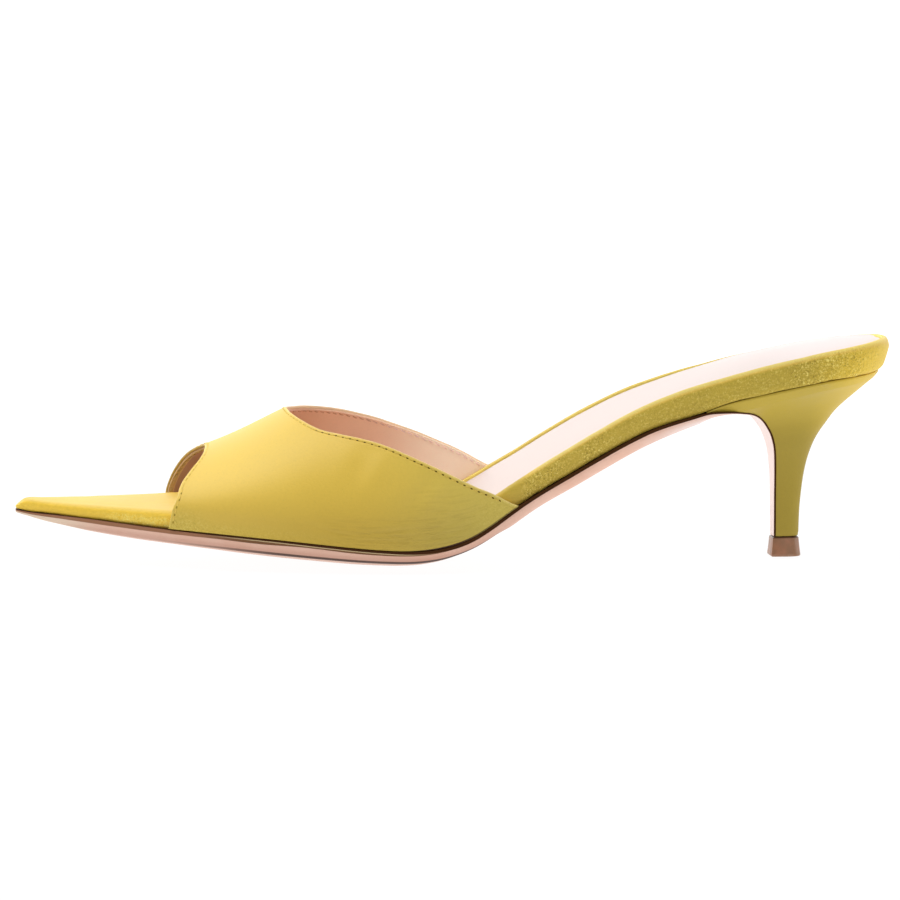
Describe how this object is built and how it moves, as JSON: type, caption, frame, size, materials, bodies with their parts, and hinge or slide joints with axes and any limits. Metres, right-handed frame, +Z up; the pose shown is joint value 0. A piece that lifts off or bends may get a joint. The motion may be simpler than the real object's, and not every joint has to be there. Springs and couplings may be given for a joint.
{
  "type": "slide sandal",
  "caption": "Pointed open-toe slide sandal with a one-piece leather vamp, a wrapped footbed and a low covered kitten heel.",
  "frame": {"origin": "middle of the shoe's length and width, on the floor it stands on", "axes": "+X from toe to heel, +Y toward the inner (medial) side, +Z up"},
  "size_m": [0.2626, 0.0776, 0.067],
  "materials": {
    "sole_leather": "burnished, pink-beige with a painted brown edge",
    "wrap_leather": "yellow ochre, soft satin",
    "sock_leather": "very pale pink, smooth",
    "upper_leather": "yellow ochre, soft satin",
    "heel_leather": "olive yellow, soft satin",
    "top_piece": "brown, matte"
  },
  "bodies": {
    "root": {"outsole": "sole_leather", "footbed": "wrap_leather", "sock_lining": "sock_leather", "vamp": "upper_leather", "heel": "heel_leather", "heel_tip": "top_piece"}
  },
  "joints": []
}
